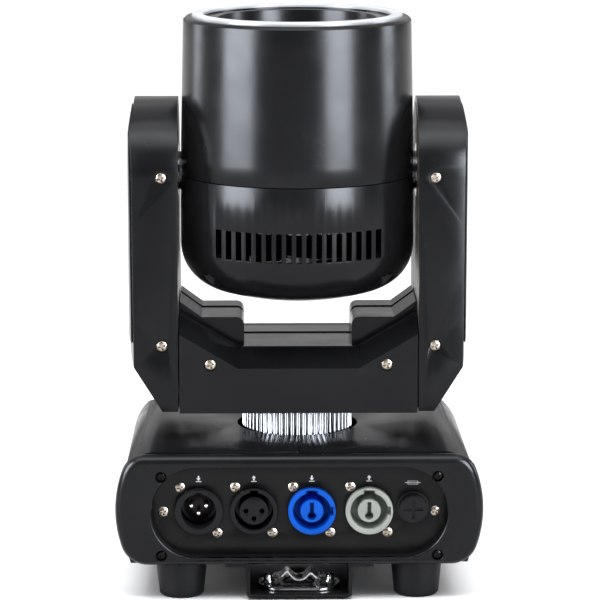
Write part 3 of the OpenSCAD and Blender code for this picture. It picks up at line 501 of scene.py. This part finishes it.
def spring_strip(bm, centre, half_length, half_width, thick):
    """The sprung cam: a strip pressed into waves, with a hole and two ramps."""
    steps_x, steps_y = 44, 10
    ramp_at, taper_from = 0.46, 0.62  # shares of the half length
    grid = []
    for i in range(steps_x + 1):
        u = -1 + 2 * i / steps_x
        x = half_length * u
        wave = 3.0 * math.exp(-((abs(u) - ramp_at) / 0.17) ** 2) - 1.1 * math.exp(-(u / 0.2) ** 2)
        row = []
        for j in range(steps_y + 1):
            v = -1 + 2 * j / steps_y
            width = half_width * (1 - 0.42 * max(0.0, abs(u) - taper_from) / (1 - taper_from))
            tilt = 0.9 * u * v * math.exp(-((abs(u) - ramp_at) / 0.25) ** 2)
            row.append(centre + Vector((x, width * v, (wave + tilt) * MM)))
        grid.append(row)
    layers = []
    for drop in (0, thick):
        layers.append([[bm.verts.new(p - Vector((0, 0, drop))) for p in row] for row in grid])
    top, bottom = layers

    def hole(i, j):
        u, v = abs(-1 + 2 * (i + 0.5) / steps_x), abs(-1 + 2 * (j + 0.5) / steps_y)
        return u < 0.14 and v < 0.62 or u < 0.3 and v < 0.22

    open_cells = {(i, j) for i in range(steps_x) for j in range(steps_y) if hole(i, j)}
    for i in range(steps_x):
        for j in range(steps_y):
            if (i, j) in open_cells:
                continue
            a, b, c, d = (i, j), (i + 1, j), (i + 1, j + 1), (i, j + 1)
            bm.faces.new([top[m][n] for m, n in (a, b, c, d)])
            bm.faces.new([bottom[m][n] for m, n in (d, c, b, a)])
            for (m, n), (p, q), cell in ((a, b, (i, j - 1)), (b, c, (i + 1, j)),
                                         (c, d, (i, j + 1)), (d, a, (i - 1, j))):
                outside = not (0 <= cell[0] < steps_x and 0 <= cell[1] < steps_y)
                if outside or cell in open_cells:
                    bm.faces.new((top[p][q], top[m][n], bottom[m][n], bottom[p][q]))


def receptacles():
    """Oval zinc plates with two rivets and a sprung cam, front and rear."""
    low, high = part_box("lock_receptacles")
    plate_r, half_run = 14 * MM, 7.5 * MM
    angles = [2 * math.pi * i / 72 for i in range(72)]
    # The plate's loops in mm: (out, up) from its foot's edge, then (radius, up) in the bore
    rim = ((-0.5, 0.0), (0, 0.5), (0, 1.5), (-0.5, 2.0), (-4.4, 2.0), (-5.0, 2.3), (-5.4, 2.3))
    bore = ((8.4, 2.3), (8.0, 1.9), (8.0, 0.3), (8.3, 0.0))
    for name, y in (("rear", low.y + plate_r), ("front", high.y - plate_r)):
        bm = bmesh.new()
        loops = []
        for out, up in rim:
            r = plate_r + out * MM
            loops.append([Vector((math.copysign(half_run, math.cos(a)) + r * math.cos(a),
                                  y + r * math.sin(a), low.z + up * MM)) for a in angles])
        for radius, up in bore:
            r = radius * MM
            loops.append([Vector((r * math.cos(a), y + r * math.sin(a), low.z + up * MM))
                          for a in angles])
        ring_faces(bm, loops, close=True)
        for x in (-16.0, 16.0):
            tube_cutter(bm, Vector((x * MM, y, low.z + 2.0 * MM)), (0, 0, 1),
                        dome_profile(2.3 * MM, 4.6 * MM, 3.2 * MM), 24)
        spring_strip(bm, Vector((0, y, low.z + 5.4 * MM)), 13.4 * MM, 6.2 * MM, 1.0 * MM)
        plate = new_object("receptacle_" + name, bm, MATERIALS["zinc_sheet"])
        soften(plate, 0)
        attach(plate, "base")
        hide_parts("lock_receptacles")


dress_nodes()
rear_cap()
print_marks()
receptacles()


# ---------- floor, light and camera ----------
def studio():
    """A pale floor under a sky that is dim in front and at the horizon."""
    world = bpy.data.worlds.new("studio")
    bpy.context.scene.world = world
    world.use_nodes = True
    tree = world.node_tree
    sky = tree.nodes["Background"]
    sky.inputs["Strength"].default_value = 1.0
    split = tree.nodes.new("ShaderNodeSeparateXYZ")
    tree.links.new(tree.nodes.new("ShaderNodeTexCoord").outputs["Generated"], split.inputs[0])
    product = tree.nodes.new("ShaderNodeMath")
    product.operation = "MULTIPLY"
    # Along Y the sky goes from front to back, and along Z from the horizon up
    for slot, axis, start, end, low, high in ((0, "Y", -0.8, 0.6, SKY_FRONT, SKY_BACK),
                                              (1, "Z", 0.02, 0.2, HORIZON, 1.0)):
        ramp = tree.nodes.new("ShaderNodeMapRange")
        for socket, value in zip(("From Min", "From Max", "To Min", "To Max"), (start, end, low, high)):
            ramp.inputs[socket].default_value = value
        tree.links.new(split.outputs[axis], ramp.inputs["Value"])
        tree.links.new(ramp.outputs["Result"], product.inputs[slot])
    tree.links.new(product.outputs["Value"], sky.inputs["Color"])
    bm = bmesh.new()
    bmesh.ops.create_grid(bm, x_segments=1, y_segments=1, size=30)
    s = Shader("floor", (0.92, 0.92, 0.92), 0.6)
    s.put(s.ramp(s.noise(3.0), (0.91, 0.91, 0.91), (0.93, 0.93, 0.93)), "Base Color")
    s.bsdf.inputs["Specular IOR Level"].default_value = 0.0
    floor = new_object("floor", bm, s.material)


def area(name, place, aim, size, power, tint):
    """A rectangular light at place, turned to face aim."""
    data = bpy.data.lights.new(name, "AREA")
    data.shape = "RECTANGLE"
    data.size, data.size_y = size
    data.energy = power
    data.color = tint
    light = bpy.data.objects.new(name, data)
    bpy.context.scene.collection.objects.link(light)
    light.location = place
    light.rotation_euler = (Vector(aim) - Vector(place)).to_track_quat("-Z", "Y").to_euler()
    return light


def softbox(name, azimuth, distance, width, power):
    """A soft light on a low stand; azimuth is degrees from -Y to +X."""
    a = math.radians(azimuth)
    height, foot = 0.7, 0.12
    middle = foot + height / 2
    place = (distance * math.sin(a), -distance * math.cos(a), middle)
    light = area(name, place, (0, 0, middle), (width, height), power, COOL)
    light.visible_diffuse = False
    return light


def lights():
    """Two keys and two rims for gloss, soft light from above, and a wide sun."""
    softbox("key_left", -60, 0.98, 0.56, 58)
    softbox("key_right", 40, 1.02, 0.46, 54)
    softbox("rim_right", 100, 1.2, 0.3, 12)
    softbox("rim_left", -116, 1.2, 0.3, 6)
    area("top", (0, -0.42, 1.5), (0, -0.1, 0.1), (1.8, 0.8), 18, NEUTRAL)
    area("fill", (0, -0.5, 0.95), (0, -0.26, 0), (1.0, 0.4), 7, NEUTRAL)
    sun = bpy.data.lights.new("overhead", "SUN")
    sun.energy = OVERHEAD
    sun.angle = math.radians(100)
    lamp = bpy.data.objects.new("overhead", sun)
    bpy.context.scene.collection.objects.link(lamp)


def camera():
    """A camera above the head's height, looking down at the connector side."""
    data = bpy.data.cameras.new("camera")
    data.lens = LENS_MM
    data.sensor_width = SENSOR_MM
    cam = bpy.data.objects.new("camera", data)
    bpy.context.scene.collection.objects.link(cam)
    cam.location = CAMERA_PLACE
    cam.rotation_euler = (math.radians(90 - CAMERA_DOWN), 0, -math.radians(CAMERA_RIGHT))
    bpy.context.scene.camera = cam


studio()
lights()
camera()
bpy.context.scene.view_settings.view_transform = "Standard"
